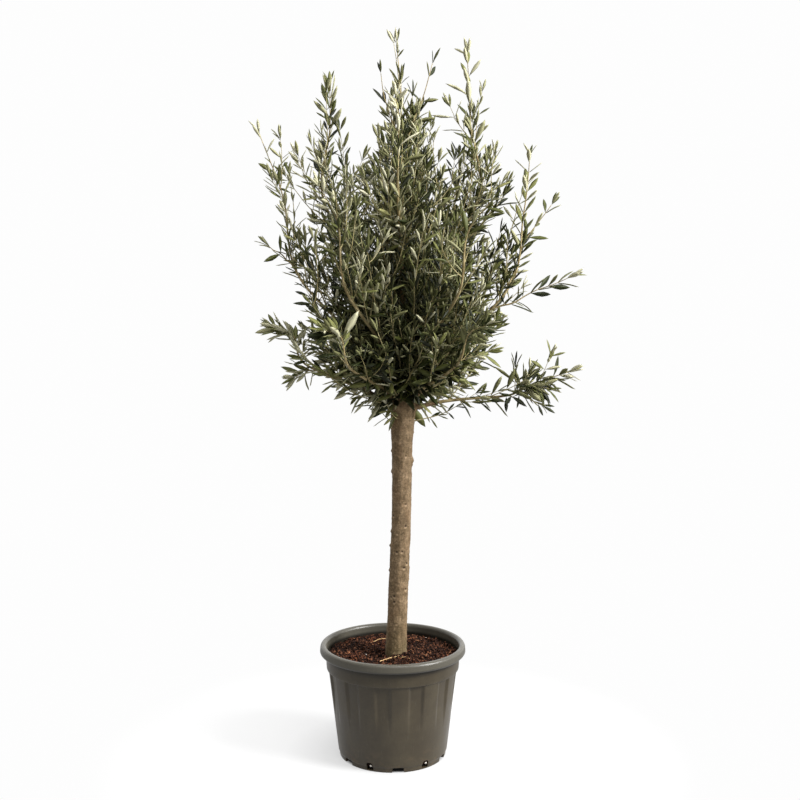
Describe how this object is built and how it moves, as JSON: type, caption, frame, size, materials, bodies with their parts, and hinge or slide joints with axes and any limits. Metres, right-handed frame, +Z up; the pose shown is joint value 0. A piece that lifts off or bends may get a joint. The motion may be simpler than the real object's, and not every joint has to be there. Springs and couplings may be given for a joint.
{
  "type": "potted olive tree",
  "caption": "Olive tree grown as a standard: one clean stem, a full crown of upswept leafy shoots, in a round fluted nursery pot filled with potting mix.",
  "frame": {"origin": "centre of the pot's flat underside, where it stands on the floor", "axes": "+Z up the stem, -Y towards the front, +X to the right seen from the front"},
  "size_m": [0.8644, 0.6763, 1.948],
  "materials": {
    "pot_plastic": "satin",
    "potting_mix": "matt, crumbly",
    "bark": "matt, finely rough",
    "leaves": "satin"
  },
  "bodies": {
    "root": {"pot": "pot_plastic", "soil": "potting_mix", "trunk": "bark", "bough_leader": "bark", "bough_skirt_back_left": "bark", "bough_skirt_back_right": "bark", "bough_skirt_front_left": "bark", "bough_skirt_front_right": "bark", "bough_skirt_left": "bark", "bough_skirt_right": "bark", "bough_top_back": "bark", "bough_top_front": "bark", "bough_top_left": "bark", "bough_top_right": "bark", "bough_waist_back_left": "bark", "bough_waist_back_right": "bark", "bough_waist_front_left": "bark", "bough_waist_front_right": "bark", "bough_waist_left": "bark", "bough_waist_right": "bark", "foliage_leader": "leaves", "foliage_skirt_back_left": "leaves", "foliage_skirt_back_right": "leaves", "foliage_skirt_front_left": "leaves", "foliage_skirt_front_right": "leaves", "foliage_skirt_left": "leaves", "foliage_skirt_right": "leaves", "foliage_top_back": "leaves", "foliage_top_front": "leaves", "foliage_top_left": "leaves", "foliage_top_right": "leaves", "foliage_waist_back_left": "leaves", "foliage_waist_back_right": "leaves", "foliage_waist_front_left": "leaves", "foliage_waist_front_right": "leaves", "foliage_waist_left": "leaves", "foliage_waist_right": "leaves", "shoot_leader_1": "leaves", "shoot_leader_2": "leaves", "shoot_leader_3": "leaves", "shoot_skirt_back_left_1": "leaves", "shoot_skirt_back_right_1": "leaves", "shoot_skirt_front_left_1": "leaves", "shoot_skirt_front_right_1": "leaves", "shoot_skirt_left_1": "leaves", "shoot_skirt_left_2": "leaves", "shoot_skirt_right_1": "leaves", "shoot_top_back_1": "leaves", "shoot_top_front_1": "leaves", "shoot_top_left_1": "leaves", "shoot_top_right_1": "leaves", "shoot_waist_back_left_1": "leaves", "shoot_waist_back_right_1": "leaves", "shoot_waist_front_left_1": "leaves", "shoot_waist_front_right_1": "leaves", "shoot_waist_left_1": "leaves", "shoot_waist_left_2": "leaves", "shoot_waist_right_1": "leaves", "shoot_waist_right_2": "leaves", "shoot_waist_right_3": "leaves"}
  },
  "joints": []
}
